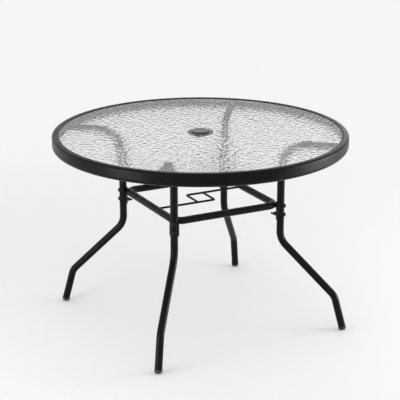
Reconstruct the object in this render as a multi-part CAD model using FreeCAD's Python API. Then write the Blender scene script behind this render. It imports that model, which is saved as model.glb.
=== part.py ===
import FreeCAD, Part
import math
import os

# Round patio table with a drop-in glass top and a hole for an umbrella pole.
# The origin is on the floor under the middle of the table, and +Z points up.
# The legs stand on the diagonals, so the sides of the frame lie along X and Y.
# Every leg is turned a little about its own upright, all of them the same way.
# All sizes are in millimetres.

# Table top
TABLE_DIAMETER = 1067.0
RIM_TOP_Z = 711.0
RIM_HEIGHT = 48.0
RIM_CROWN_WIDTH = 22.0
RIM_SHEET = 1.5
RIM_CROWN_RADIUS = 8.0
RIM_INNER_RADIUS = 2.5
RIM_CURL_RADIUS = 14.0
RIM_CURL_FLAT = 5.5
LEDGE_WIDTH = 6.0
LEDGE_DROP = 9.0
LEDGE_BEND_RADIUS = 1.0
GLASS_THICKNESS = 5.0
GLASS_HOLE_DIAMETER = 56.0
GLASS_EDGE_RADIUS = 1.0
GASKET_THICKNESS = 2.0
GASKET_WIDTH = 5.5
GASKET_LIP_BELOW_GLASS_TOP = 0.5

# Umbrella hole ring and its plug
FLANGE_DIAMETER = 94.0
FLANGE_THICKNESS = 2.5
FLANGE_EDGE_RADIUS = 1.5
POLE_BORE_DIAMETER = 41.0
PLUG_SEAT_DIAMETER = 49.0
PLUG_SEAT_DEPTH = 5.5
SLEEVE_DIAMETER = 54.0
SLEEVE_LENGTH = 16.0
SLEEVE_END_DIAMETER = 48.0
SNAP_BEAD_DIAMETER = 57.6
SNAP_BEAD_HEIGHT = 3.0
BORE_LEAD_IN = 1.0
PLUG_DIAMETER = 66.0
PLUG_THICKNESS = 4.5
PLUG_EDGE_RADIUS = 2.0
PLUG_SKIRT_CLEARANCE = 0.3
PLUG_WALL = 2.0

# Legs: each is an upper arm, fixed to the rim, and a lower leg plugged into it
LEG_RADIUS = 302.0
ARM_TUBE_DIAMETER = 27.4
ARM_BEND_RADIUS = 97.0
LEG_TUBE_DIAMETER = 26.7
TUBE_WALL = 1.2
SEAM_Z = 412.0
SWAGED_LENGTH = 68.0
SWAGED_GAP = 0.1
KNEE_Z = 333.0
KNEE_RADIUS = 77.0
ANKLE_REACH = 204.0
ANKLE_RADIUS = 63.0
FOOT_LEAN_DEG = 15.0
LEG_TURN_DEG = 4.8
LEG_AZIMUTHS = {"front_left": 225.0, "front_right": 315.0, "back_right": 45.0, "back_left": 135.0}

# Foot caps
FOOT_CAP_HEIGHT = 14.0
FOOT_CAP_DIAMETER = 28.4
FOOT_DOME_RADIUS = 9.0
FOOT_STRAIGHT = 3.9
FOOT_SHANK_LENGTH = 18.0
FOOT_SHANK_GAP = 0.1
FOOT_SHANK_WALL = 2.0

# Frame under the top, with the two bent rods that guide the pole
FRAME_HALF_SIDE = 203.0
FRAME_TUBE_DIAMETER = 26.0
FRAME_Z = 461.0
ROD_DIAMETER = 8.0
ROD_Z = 462.0
ROD_BEND_RADIUS = 8.0
GUIDE_HALF_X = 34.0
GUIDE_HALF_Y = 47.0

# Saddle plates, welded to the corners of the frame and bolted to the legs
SADDLE_OUTER_RADIUS = 19.5
SADDLE_THICKNESS = 3.0
SADDLE_WIDTH = 33.0
SADDLE_BOTTOM_Z = 408.0
SADDLE_TOP_Z = 474.0
SADDLE_CORNER_RADIUS = 8.0
WELD_COLLAR_DIAMETER = 20.0

# Fasteners
BOLT_DIAMETER = 8.0
BOLT_HOLE_DIAMETER = 8.6
BOLT_HEAD_DIAMETER = 14.5
BOLT_HEAD_HEIGHT = 4.4
BOLT_HEAD_CROWN = 1.2
UPPER_BOLT_Z = FRAME_Z
LOWER_BOLT_Z = 428.0
WASHER_DIAMETER = 15.0
WASHER_THICKNESS = 0.8
FORMED_WASHER_THICKNESS = 2.0
WASHER_BACKING_HALF_HEIGHT = 10.0
NUT_ACROSS_FLATS = 13.0
NUT_THICKNESS = 6.5
NUT_BORE_GAP = 0.05
UPPER_TIP_LENGTH = 3.0
LOWER_TIP_LENGTH = 11.0

# Places worked out from the sizes above
RIM_RADIUS = TABLE_DIAMETER / 2
RIM_BOTTOM_Z = RIM_TOP_Z - RIM_HEIGHT
RIM_INNER_WALL = RIM_RADIUS - RIM_CROWN_WIDTH
LEDGE_Z = RIM_TOP_Z - LEDGE_DROP
LEDGE_INNER_RADIUS = RIM_INNER_WALL - LEDGE_WIDTH
GLASS_BOTTOM_Z = LEDGE_Z + GASKET_THICKNESS
GLASS_TOP_Z = GLASS_BOTTOM_Z + GLASS_THICKNESS
GLASS_RADIUS = RIM_INNER_WALL - GASKET_THICKNESS
FLANGE_TOP_Z = GLASS_TOP_Z + FLANGE_THICKNESS
ARM_RADIUS = ARM_TUBE_DIAMETER / 2
ARM_Z = LEDGE_Z - RIM_SHEET - ARM_RADIUS
FRAME_RADIUS = FRAME_TUBE_DIAMETER / 2
SADDLE_INNER_RADIUS = SADDLE_OUTER_RADIUS - SADDLE_THICKNESS
SADDLE_CENTRE = LEG_RADIUS - ARM_RADIUS + SADDLE_INNER_RADIUS
SADDLE_FACE = SADDLE_CENTRE - SADDLE_OUTER_RADIUS
CORNER_RADIUS = SADDLE_FACE - FRAME_RADIUS
FRAME_BEND_RADIUS = (FRAME_HALF_SIDE * math.sqrt(2) - CORNER_RADIUS) / (math.sqrt(2) - 1)

UP = FreeCAD.Vector(0, 0, 1)
ORIGIN = FreeCAD.Vector(0, 0, 0)


def at(x, z, y=0.0):
    """A point in the upright plane of a piece, given by its distance from the axis and its height."""
    return FreeCAD.Vector(x, y, z)


def rounded_edges(points, radii):
    """Straight runs between the points, joined by tangent arcs of the given radii."""
    edges = []
    start = points[0]
    for before, corner, after, radius in zip(points, points[1:], points[2:], radii):
        back = (before - corner).normalize()
        ahead = (after - corner).normalize()
        half_angle = back.getAngle(ahead) / 2
        reach = radius / math.tan(half_angle)
        inward = (back + ahead).normalize()
        centre = corner + inward * (radius / math.sin(half_angle))
        arc_start = corner + back * reach
        arc_end = corner + ahead * reach
        edges.append(Part.LineSegment(start, arc_start).toShape())
        edges.append(Part.Arc(arc_start, centre - inward * radius, arc_end).toShape())
        start = arc_end
    edges.append(Part.LineSegment(start, points[-1]).toShape())
    return edges


def polyline_edges(points):
    return [Part.LineSegment(a, b).toShape() for a, b in zip(points, points[1:])]


def turned(edges, centre=ORIGIN, axis=UP):
    """A solid of revolution from a closed outline."""
    return Part.Face(Part.Wire(Part.__sortEdges__(edges))).revolve(centre, axis, 360)


def swept(edges, radius):
    """A round bar along a path of straight runs and arcs."""
    path = Part.Wire(edges)
    first = path.OrderedEdges[0]
    start = first.valueAt(first.FirstParameter)
    section = Part.Wire(Part.makeCircle(radius, start, first.tangentAt(first.FirstParameter)))
    return path.makePipeShell([section], True, False)


def tube(edges, outer_radius, wall):
    return swept(edges, outer_radius).cut(swept(edges, outer_radius - wall))


def radial_bar(radius, start_x, end_x, z):
    """A round bar that points along X, between two distances from the table's axis."""
    return Part.makeCylinder(radius, end_x - start_x, at(start_x, z), FreeCAD.Vector(1, 0, 0))


def placed(shape, azimuth):
    """A copy of a piece that was made in the XZ plane, turned to its leg's place."""
    copy = shape.copy()
    copy.rotate(ORIGIN, UP, azimuth)
    return copy


def turned_on_upright(shape):
    """A copy of a leg's tube or cap, turned about the leg's own upright axis."""
    copy = shape.copy()
    copy.rotate(at(LEG_RADIUS, 0), UP, LEG_TURN_DEG)
    return copy


def on_every_leg(shapes):
    """One group of separate solids with a copy of each shape at every leg."""
    return Part.makeCompound([placed(s, azimuth) for azimuth in LEG_AZIMUTHS.values() for s in shapes])


def rim_side(depth):
    """One side of the rim's sheet, from the ledge round to the curl, at a depth below its outside."""
    inner_wall = RIM_INNER_WALL + depth
    band = RIM_RADIUS - depth
    corners = [
        at(LEDGE_INNER_RADIUS, LEDGE_Z - depth),
        at(inner_wall, LEDGE_Z - depth),
        at(inner_wall, RIM_TOP_Z - depth),
        at(band, RIM_TOP_Z - depth),
        at(band, RIM_BOTTOM_Z + depth),
        at(RIM_RADIUS - RIM_CURL_RADIUS - RIM_CURL_FLAT, RIM_BOTTOM_Z + depth),
    ]
    bends = [RIM_INNER_RADIUS - depth, RIM_CROWN_RADIUS - depth, RIM_CURL_RADIUS - depth]
    return corners, rounded_edges(corners, [LEDGE_BEND_RADIUS + depth] + bends)


def make_rim():
    """Rolled sheet: glass ledge, inner wall, crown, outer band and a bottom edge curled inwards."""
    outside_corners, outside = rim_side(0)
    inside_corners, inside = rim_side(RIM_SHEET)
    ledge_edge = Part.LineSegment(outside_corners[0], inside_corners[0]).toShape()
    curl_edge = Part.LineSegment(outside_corners[-1], inside_corners[-1]).toShape()
    return turned(outside + inside + [ledge_edge, curl_edge])


def make_glass():
    """Disc with a hole, and with its four edges ground round."""
    hole = GLASS_HOLE_DIAMETER / 2
    middle = (hole + GLASS_RADIUS) / 2
    outline = [
        at(middle, GLASS_BOTTOM_Z),
        at(GLASS_RADIUS, GLASS_BOTTOM_Z),
        at(GLASS_RADIUS, GLASS_TOP_Z),
        at(hole, GLASS_TOP_Z),
        at(hole, GLASS_BOTTOM_Z),
        at(middle, GLASS_BOTTOM_Z),
    ]
    return turned(rounded_edges(outline, [GLASS_EDGE_RADIUS] * 4))


def make_gasket():
    """Soft angle strip between the glass and the ledge, with a lip up the edge of the glass."""
    lip_top = GLASS_TOP_Z - GASKET_LIP_BELOW_GLASS_TOP
    start = at(RIM_INNER_WALL - GASKET_WIDTH, LEDGE_Z)
    end = at(RIM_INNER_WALL, lip_top)
    edges = rounded_edges([start, at(RIM_INNER_WALL, LEDGE_Z), end], [LEDGE_BEND_RADIUS])
    edges += polyline_edges(
        [
            end,
            at(GLASS_RADIUS, lip_top),
            at(GLASS_RADIUS, GLASS_BOTTOM_Z),
            at(RIM_INNER_WALL - GASKET_WIDTH, GLASS_BOTTOM_Z),
            start,
        ]
    )
    return turned(edges)


def make_umbrella_ring():
    """Moulded ring: a flange on the glass, a bead that snaps under it and a tapered sleeve."""
    bore = POLE_BORE_DIAMETER / 2
    sleeve = SLEEVE_DIAMETER / 2
    flange = FLANGE_DIAMETER / 2
    bead = SNAP_BEAD_DIAMETER / 2
    end = SLEEVE_END_DIAMETER / 2
    bottom = GLASS_TOP_Z - SLEEVE_LENGTH
    edges = polyline_edges(
        [
            at(flange, GLASS_TOP_Z),
            at(sleeve, GLASS_TOP_Z),
            at(sleeve, GLASS_BOTTOM_Z),
            at(bead, GLASS_BOTTOM_Z),
            at(sleeve, GLASS_BOTTOM_Z - SNAP_BEAD_HEIGHT),
            at(end, bottom),
            at(bore + BORE_LEAD_IN, bottom),
            at(bore, bottom + BORE_LEAD_IN),
            at(bore, FLANGE_TOP_Z - PLUG_SEAT_DEPTH),
            at(PLUG_SEAT_DIAMETER / 2, FLANGE_TOP_Z - PLUG_SEAT_DEPTH),
            at(PLUG_SEAT_DIAMETER / 2, FLANGE_TOP_Z),
        ]
    )
    edges += rounded_edges(
        [at(PLUG_SEAT_DIAMETER / 2, FLANGE_TOP_Z), at(flange, FLANGE_TOP_Z), at(flange, GLASS_TOP_Z)],
        [FLANGE_EDGE_RADIUS],
    )
    return turned(edges)


def make_plug():
    """Lift-out cap: a flat disc that covers the hole, with a short skirt that centres it."""
    top = FLANGE_TOP_Z + PLUG_THICKNESS
    skirt = PLUG_SEAT_DIAMETER / 2 - PLUG_SKIRT_CLEARANCE
    skirt_end = FLANGE_TOP_Z - PLUG_SEAT_DEPTH + PLUG_SKIRT_CLEARANCE
    edges = rounded_edges(
        [at(0, top), at(PLUG_DIAMETER / 2, top), at(PLUG_DIAMETER / 2, FLANGE_TOP_Z)],
        [PLUG_EDGE_RADIUS],
    )
    edges += polyline_edges(
        [
            at(PLUG_DIAMETER / 2, FLANGE_TOP_Z),
            at(skirt, FLANGE_TOP_Z),
            at(skirt, skirt_end),
            at(skirt - PLUG_WALL, skirt_end),
            at(skirt - PLUG_WALL, top - PLUG_WALL),
            at(0, top - PLUG_WALL),
            at(0, top),
        ]
    )
    return turned(edges)


def bolt_holes():
    """Clear holes for the two bolts of a leg, through everything that they clamp."""
    low = CORNER_RADIUS - FRAME_TUBE_DIAMETER
    high = LEG_RADIUS + ARM_TUBE_DIAMETER
    holes = [radial_bar(BOLT_HOLE_DIAMETER / 2, low, high, z) for z in (UPPER_BOLT_Z, LOWER_BOLT_Z)]
    return Part.makeCompound(holes)


def make_arm():
    """Tube from the seam with the lower leg up to the ledge, then out under the glass to the rim."""
    path = rounded_edges(
        [at(LEG_RADIUS, SEAM_Z), at(LEG_RADIUS, ARM_Z), at(RIM_RADIUS, ARM_Z)],
        [ARM_BEND_RADIUS],
    )
    arm = turned_on_upright(tube(path, ARM_RADIUS, TUBE_WALL))
    inside_of_band = Part.makeCylinder(RIM_RADIUS - RIM_SHEET, RIM_TOP_Z)
    return arm.common(inside_of_band).cut(make_rim()).cut(bolt_holes())


def ankle_and_floor():
    """The corner of the leg's lower bend, and the point where the foot's axis meets the floor."""
    ankle = at(LEG_RADIUS + ANKLE_REACH, KNEE_Z - ANKLE_REACH)
    floor = at(ankle.x + ankle.z * math.tan(math.radians(FOOT_LEAN_DEG)), 0)
    return ankle, floor


def make_leg():
    """Tube with a reduced top that plugs into the arm, a knee, an ankle and a leaning foot."""
    ankle, floor = ankle_and_floor()
    outward = (floor - ankle).normalize()
    tube_end = floor - outward * FOOT_CAP_HEIGHT
    path = rounded_edges(
        [at(LEG_RADIUS, SEAM_Z), at(LEG_RADIUS, KNEE_Z), ankle, tube_end],
        [KNEE_RADIUS, ANKLE_RADIUS],
    )
    plug_radius = ARM_RADIUS - TUBE_WALL - SWAGED_GAP
    root = SEAM_Z - TUBE_WALL
    plug = Part.makeCylinder(plug_radius, SWAGED_LENGTH + TUBE_WALL, at(LEG_RADIUS, root))
    plug_bore = Part.makeCylinder(plug_radius - TUBE_WALL, SWAGED_LENGTH + TUBE_WALL, at(LEG_RADIUS, root))
    lower = tube(path, LEG_TUBE_DIAMETER / 2, TUBE_WALL).fuse(plug).cut(plug_bore)
    return turned_on_upright(lower.removeSplitter()).cut(bolt_holes())


def make_foot():
    """Plastic cap: a hollow shank pushed into the tube, a collar and a dome with a flat sole."""
    ankle, floor = ankle_and_floor()
    shank = LEG_TUBE_DIAMETER / 2 - TUBE_WALL - FOOT_SHANK_GAP
    radius = FOOT_CAP_DIAMETER / 2
    dome_end = FOOT_STRAIGHT + FOOT_DOME_RADIUS
    edges = polyline_edges(
        [
            at(0, 0),
            at(shank - FOOT_SHANK_WALL, 0),
            at(shank - FOOT_SHANK_WALL, FOOT_SHANK_LENGTH),
            at(shank, FOOT_SHANK_LENGTH),
            at(shank, 0),
            at(radius, 0),
        ]
    )
    edges += rounded_edges([at(radius, 0), at(radius, -dome_end), at(0, -dome_end)], [FOOT_DOME_RADIUS])
    edges += polyline_edges([at(0, -dome_end), at(0, 0)])
    cap = turned(edges)
    cap.rotate(ORIGIN, FreeCAD.Vector(0, -1, 0), FOOT_LEAN_DEG)
    cap.translate(floor - (floor - ankle).normalize() * FOOT_CAP_HEIGHT)
    below_floor = Part.makeBox(TABLE_DIAMETER, TABLE_DIAMETER, TABLE_DIAMETER)
    below_floor.translate(FreeCAD.Vector(0, -RIM_RADIUS, -TABLE_DIAMETER))
    return turned_on_upright(cap.cut(below_floor))


def frame_bar(radius):
    """The whole square of the frame as a solid bar with rounded corners, seams underneath."""
    half_run = FRAME_HALF_SIDE - FRAME_BEND_RADIUS
    side = Part.makeCylinder(
        radius, 2 * half_run, FreeCAD.Vector(FRAME_HALF_SIDE, -half_run, FRAME_Z), FreeCAD.Vector(0, 1, 0)
    )
    bend = Part.makeTorus(
        FRAME_BEND_RADIUS, radius, FreeCAD.Vector(half_run, half_run, FRAME_Z), UP, -90, 270, 90
    )
    pieces = [placed(piece, quarter * 90) for quarter in range(4) for piece in (side, bend)]
    return pieces[0].fuse(pieces[1:]).removeSplitter()


def make_frame():
    """Square ring of tube, drilled through each corner for the upper bolt of a leg."""
    holes = on_every_leg([bolt_holes()])
    return frame_bar(FRAME_RADIUS).cut(frame_bar(FRAME_RADIUS - TUBE_WALL)).cut(holes)


def make_guide_rod():
    """Rod from the left side of the frame past the middle, bent to end on the other rod."""
    radius = ROD_DIAMETER / 2
    path = rounded_edges(
        [
            FreeCAD.Vector(-FRAME_HALF_SIDE, -GUIDE_HALF_Y, ROD_Z),
            FreeCAD.Vector(GUIDE_HALF_X, -GUIDE_HALF_Y, ROD_Z),
            FreeCAD.Vector(GUIDE_HALF_X, GUIDE_HALF_Y, ROD_Z),
        ],
        [ROD_BEND_RADIUS],
    )
    run_of_the_other = Part.makeCylinder(
        radius, FRAME_HALF_SIDE, FreeCAD.Vector(0, GUIDE_HALF_Y, ROD_Z), FreeCAD.Vector(1, 0, 0)
    )
    return swept(path, radius).cut(run_of_the_other).cut(frame_bar(FRAME_RADIUS))


def make_saddle():
    """Curved plate that bears on the leg, with the weld collar that joins it to the frame."""
    height = SADDLE_TOP_Z - SADDLE_BOTTOM_Z
    axis_foot = at(SADDLE_CENTRE, SADDLE_BOTTOM_Z)
    full_round = Part.makeCylinder(SADDLE_OUTER_RADIUS, height, axis_foot)
    ring = full_round.cut(Part.makeCylinder(SADDLE_INNER_RADIUS, height, axis_foot))
    blank = Part.makeBox(SADDLE_OUTER_RADIUS, SADDLE_WIDTH, height)
    blank.translate(FreeCAD.Vector(SADDLE_FACE, -SADDLE_WIDTH / 2, SADDLE_BOTTOM_Z))
    radial_edges = [e for e in blank.Edges if e.BoundBox.YLength + e.BoundBox.ZLength < e.BoundBox.XLength]
    plate = ring.common(blank.makeFillet(SADDLE_CORNER_RADIUS, radial_edges))
    collar = radial_bar(WELD_COLLAR_DIAMETER / 2, CORNER_RADIUS, SADDLE_CENTRE, UPPER_BOLT_Z)
    collar = collar.cut(placed(frame_bar(FRAME_RADIUS), 45)).cut(full_round)
    return plate.fuse(collar).cut(bolt_holes()).removeSplitter()


def outer_seat():
    return LEG_RADIUS + ARM_RADIUS + WASHER_THICKNESS


def inner_seats():
    """Where the nuts of the upper and the lower bolt bear, as distances from the table's axis."""
    return {
        UPPER_BOLT_Z: CORNER_RADIUS - FRAME_RADIUS - FORMED_WASHER_THICKNESS,
        LOWER_BOLT_Z: SADDLE_FACE - WASHER_THICKNESS,
    }


def make_bolt(z, tip_length):
    """Round-headed bolt, from its head outside the leg to its tip inside the frame."""
    radius = BOLT_HEAD_DIAMETER / 2
    shank = BOLT_DIAMETER / 2
    length = outer_seat() - inner_seats()[z] + NUT_THICKNESS + tip_length
    outline = [
        at(0, BOLT_HEAD_HEIGHT),
        at(radius - BOLT_HEAD_CROWN, BOLT_HEAD_HEIGHT),
        at(radius, BOLT_HEAD_HEIGHT - BOLT_HEAD_CROWN),
        at(radius, 0),
        at(shank, 0),
        at(shank, -length),
        at(0, -length),
        at(0, BOLT_HEAD_HEIGHT),
    ]
    bolt = turned(polyline_edges(outline))
    bolt.rotate(ORIGIN, FreeCAD.Vector(0, 1, 0), 90)
    bolt.translate(at(outer_seat(), z))
    return bolt


def make_nut(z):
    corner = NUT_ACROSS_FLATS / math.sqrt(3)
    angles = [math.radians(60 * i) for i in range(7)]
    seat = inner_seats()[z]
    corners = [FreeCAD.Vector(seat, corner * math.cos(a), z + corner * math.sin(a)) for a in angles]
    hexagon = Part.Face(Part.makePolygon(corners)).extrude(FreeCAD.Vector(-NUT_THICKNESS, 0, 0))
    return hexagon.cut(radial_bar(BOLT_DIAMETER / 2 + NUT_BORE_GAP, seat - NUT_THICKNESS, seat, z))


def make_outer_washer(z):
    """Washer under a bolt's head, hollowed to the round of the arm."""
    disc = radial_bar(WASHER_DIAMETER / 2, LEG_RADIUS, outer_seat(), z)
    low = z - WASHER_BACKING_HALF_HEIGHT
    arm = Part.makeCylinder(ARM_RADIUS, WASHER_BACKING_HALF_HEIGHT * 2, at(LEG_RADIUS, low))
    return disc.cut(arm).cut(bolt_holes())


def make_inner_washer(z):
    """Washer under a nut, hollowed to the frame's round corner or to the saddle plate."""
    seat = inner_seats()[z]
    if z == UPPER_BOLT_Z:
        disc = radial_bar(WASHER_DIAMETER / 2, seat, CORNER_RADIUS, z)
        backing = placed(frame_bar(FRAME_RADIUS), 45)
    else:
        disc = radial_bar(WASHER_DIAMETER / 2, seat, SADDLE_CENTRE, z)
        low = z - WASHER_BACKING_HALF_HEIGHT
        height = WASHER_BACKING_HALF_HEIGHT * 2
        backing = Part.makeCylinder(SADDLE_OUTER_RADIUS, height, at(SADDLE_CENTRE, low))
    return disc.cut(backing).cut(bolt_holes())


def make_parts():
    rod = make_guide_rod()
    parts = {
        "rim": make_rim(),
        "glass_top": make_glass(),
        "glass_gasket": make_gasket(),
        "umbrella_ring": make_umbrella_ring(),
        "hole_plug": make_plug(),
        "frame_ring": make_frame(),
        "guide_rod_front": rod,
        "guide_rod_back": placed(rod, 180),
        "upper_bolts": on_every_leg([make_bolt(UPPER_BOLT_Z, UPPER_TIP_LENGTH)]),
        "lower_bolts": on_every_leg([make_bolt(LOWER_BOLT_Z, LOWER_TIP_LENGTH)]),
        "nuts": on_every_leg([make_nut(z) for z in (UPPER_BOLT_Z, LOWER_BOLT_Z)]),
        "head_washers": on_every_leg([make_outer_washer(z) for z in (UPPER_BOLT_Z, LOWER_BOLT_Z)]),
        "nut_washers": on_every_leg([make_inner_washer(z) for z in (UPPER_BOLT_Z, LOWER_BOLT_Z)]),
    }
    leg_pieces = {"arm": make_arm(), "leg": make_leg(), "foot": make_foot(), "saddle": make_saddle()}
    for kind, shape in leg_pieces.items():
        for corner, azimuth in LEG_AZIMUTHS.items():
            parts[f"{kind}_{corner}"] = placed(shape, azimuth)
    return parts


os.makedirs("parts", exist_ok=True)
for node, shape in make_parts().items():
    shape.exportStep(f"parts/{node}.step")
    box = shape.BoundBox
    print(node, len(shape.Solids), "solid(s), valid:", shape.isValid(), "volume:", round(shape.Volume))
    print("   from", [round(v, 2) for v in (box.XMin, box.YMin, box.ZMin)])
    print("   to", [round(v, 2) for v in (box.XMax, box.YMax, box.ZMax)])
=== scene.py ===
# %% [markdown]
# # A patio table with a rippled glass top
#
# The real table is a round sheet of tempered glass in a rolled steel rim, on four legs of bent
# tube. A square frame holds the legs together, and two thin rods on it steady the pole of an
# umbrella. All the metal has a satin black powder coat. The ring in the pole's hole and the loose
# cap over it are dark grey plastic.
#
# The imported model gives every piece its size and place. This lesson loads it, builds each piece
# that shows again as a smooth surface of the same size, and finishes every surface with nodes.

# %% Load the frame
import math

import bmesh
import bpy
import numpy as np
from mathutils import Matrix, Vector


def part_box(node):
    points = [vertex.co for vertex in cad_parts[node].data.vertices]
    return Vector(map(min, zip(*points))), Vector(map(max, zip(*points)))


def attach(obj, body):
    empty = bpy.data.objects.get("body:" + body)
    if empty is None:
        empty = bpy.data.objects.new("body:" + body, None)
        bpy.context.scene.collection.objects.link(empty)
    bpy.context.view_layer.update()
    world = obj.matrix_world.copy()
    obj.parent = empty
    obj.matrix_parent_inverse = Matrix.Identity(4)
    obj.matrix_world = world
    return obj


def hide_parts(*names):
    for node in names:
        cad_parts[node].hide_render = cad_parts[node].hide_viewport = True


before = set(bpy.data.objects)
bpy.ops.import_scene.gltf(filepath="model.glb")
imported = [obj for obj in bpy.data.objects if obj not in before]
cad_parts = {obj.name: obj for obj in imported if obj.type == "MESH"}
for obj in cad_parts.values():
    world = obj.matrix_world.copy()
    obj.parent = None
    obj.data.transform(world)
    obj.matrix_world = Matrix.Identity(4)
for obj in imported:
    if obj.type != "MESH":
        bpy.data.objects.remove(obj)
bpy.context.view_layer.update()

# %% [markdown]
# ## Sizes
#
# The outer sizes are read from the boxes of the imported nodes. What a box can't tell, such as a
# bend's radius, is named here in metres. It is the size that the maker's tools would be set to.

# %% Sizes from the frame
MM = 0.001

rim_low, rim_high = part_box("rim")
glass_low, glass_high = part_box("glass_top")
gasket_low, gasket_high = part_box("glass_gasket")
ring_low, ring_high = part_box("umbrella_ring")
plug_low, plug_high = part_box("hole_plug")
frame_low, frame_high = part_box("frame_ring")

LEG_PLACES = {"front_left": 225.0, "front_right": 315.0, "back_right": 45.0, "back_left": 135.0}
LEG_RADIUS = 302 * MM
LEG_TURN = 4.8
ARM_TUBE_RADIUS = 13.7 * MM
LEG_TUBE_RADIUS = 13.35 * MM
TUBE_WALL = 1.2 * MM
SHEET = 1.5 * MM
SEAM_Z = 412 * MM
LEDGE_Z = gasket_low.z
ARM_Z = LEDGE_Z - SHEET - ARM_TUBE_RADIUS
FRAME_TUBE_RADIUS = (frame_high.z - frame_low.z) / 2
FRAME_Z = (frame_high.z + frame_low.z) / 2
FRAME_HALF_SIDE = frame_high.x - FRAME_TUBE_RADIUS
print("frame", round(FRAME_HALF_SIDE, 4), "m from the middle,",
      "tube radius", round(FRAME_TUBE_RADIUS, 5))

# %% [markdown]
# ## Surfaces as grids
#
# Nearly every piece of this table is a surface of two parameters: a turned part has an angle and a
# place along its outline, and a bent tube has an angle and a place along its path. A grid of points
# worked out with whole arrays holds such a surface, and its quads join neighbours in the grid.
# Modelling by hand with loops and extrusions would give the same faces, but not from one formula.

# %% Lines with rounded corners


def unit(vector):
    return vector / np.linalg.norm(vector)


def bent_line(corners, radii, steps, hold=2 * MM):
    """Points and directions along straight runs between the corners, joined by tangent arcs.

    With h as half the angle between two sides, an arc of radius r has its centre r / sin(h) from
    the corner on the bisector. Its points are centre - r cos(a) inward + r sin(a) sideways, for a
    from -(90 - h) to 90 - h degrees, where sideways is square to the bisector. One more point
    stands on each straight at the distance hold from its arc, so that the straight is shaded as
    straight.
    """
    corners = np.asarray(corners, float)
    points, directions = [corners[:1]], [unit(corners[1] - corners[0])[None]]
    for before, corner, after, radius in zip(corners, corners[1:], corners[2:], radii):
        back, ahead = unit(before - corner), unit(after - corner)
        half = math.acos(np.clip(back @ ahead, -1, 1)) / 2
        inward, sideways = unit(back + ahead), unit(ahead - back)
        centre = corner + inward * radius / math.sin(half)
        a = np.linspace(half - math.pi / 2, math.pi / 2 - half, steps)[:, None]
        arc = centre - radius * np.cos(a) * inward + radius * np.sin(a) * sideways
        ways = np.sin(a) * inward + np.cos(a) * sideways
        points += [arc[:1] + hold * back, arc, arc[-1:] + hold * ahead]
        directions += [ways[:1], ways, ways[-1:]]
    points.append(corners[-1:])
    directions.append(unit(corners[-1] - corners[-2])[None])
    return np.concatenate(points), np.concatenate(directions)


def outline(corners, radii, steps=8, hold=0.15 * MM):
    """Only the points of a bent line, with its corners and radii given in millimetres."""
    corners, radii = np.asarray(corners, float) * MM, np.asarray(radii, float) * MM
    return bent_line(corners, radii, steps, hold)[0]


# %% [markdown]
# ### Turning and sweeping
#
# Most of these parts are either round about the table's axis or bent from tube, and two formulas
# suit them: one turns an outline about that axis, the other carries a ring along a bent line.

# %% Turned surfaces and tubes


def angles(columns):
    return np.arange(columns) * 2 * math.pi / columns


def turned(profile, columns):
    """A turned surface: the profile's (r, z) becomes (r cos a, r sin a, z) for angles a."""
    a = angles(columns)
    r, z = profile[:, :1], profile[:, 1:]
    return np.stack([r * np.cos(a), r * np.sin(a), z + 0 * a], axis=-1)


def tube(points, directions, side, radius, columns):
    """Rings round a flat path: point + radius (cos a across + sin a side), where side is square to
    the path's plane and across is side x direction. The radius may change from ring to ring."""
    a = angles(columns)[:, None]
    across = np.cross(side, directions)[:, None]
    radius = np.broadcast_to(radius, len(points))[:, None, None]
    return points[:, None] + radius * (np.cos(a) * across + np.sin(a) * np.asarray(side, float))


def capped(grid):
    """The grid with a row at each end that closes it to the middle of its ring."""
    return np.concatenate([grid[:1] * 0 + grid[:1].mean(1, keepdims=True), grid,
                           grid[-1:] * 0 + grid[-1:].mean(1, keepdims=True)])


def rotated(grid, degrees):
    """Every point turned about the upright axis: x' = x cos a - y sin a, y' = x sin a + y cos a."""
    a = math.radians(degrees)
    x, y, z = np.moveaxis(grid, -1, 0)
    turned_x, turned_y = x * math.cos(a) - y * math.sin(a), x * math.sin(a) + y * math.cos(a)
    return np.stack([turned_x, turned_y, z], axis=-1)


# %% [markdown]
# ### From a grid to a piece
#
# One function makes the mesh, merges its seams and says all that.

# %% Pieces from grids

SHARP_ANGLE = math.radians(32)
WELD_DISTANCE = 2e-6


def grid_quads(rows, columns, closed_rows):
    """The four corners of every quad of a grid whose columns close round, as rows of indices."""
    starts = np.arange(rows if closed_rows else rows - 1)
    r, c = np.meshgrid(starts, np.arange(columns), indexing="ij")
    below, beside = (r + 1) % rows, (c + 1) % columns
    corners = [r * columns + c, r * columns + beside, below * columns + beside, below * columns + c]
    return np.stack(corners, axis=-1).reshape(-1, 4)


def mesh_of(name, points, quads):
    """A new mesh from whole arrays of points and of the four corners of each quad."""
    mesh = bpy.data.meshes.new(name)
    mesh.vertices.add(len(points))
    mesh.vertices.foreach_set("co", points.astype(np.float32).ravel())
    mesh.loops.add(quads.size)
    mesh.loops.foreach_set("vertex_index", quads.astype(np.int32).ravel())
    mesh.polygons.add(len(quads))
    mesh.polygons.foreach_set("loop_start", np.arange(0, quads.size, 4, dtype=np.int32))
    mesh.update(calc_edges=True)
    return mesh


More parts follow.
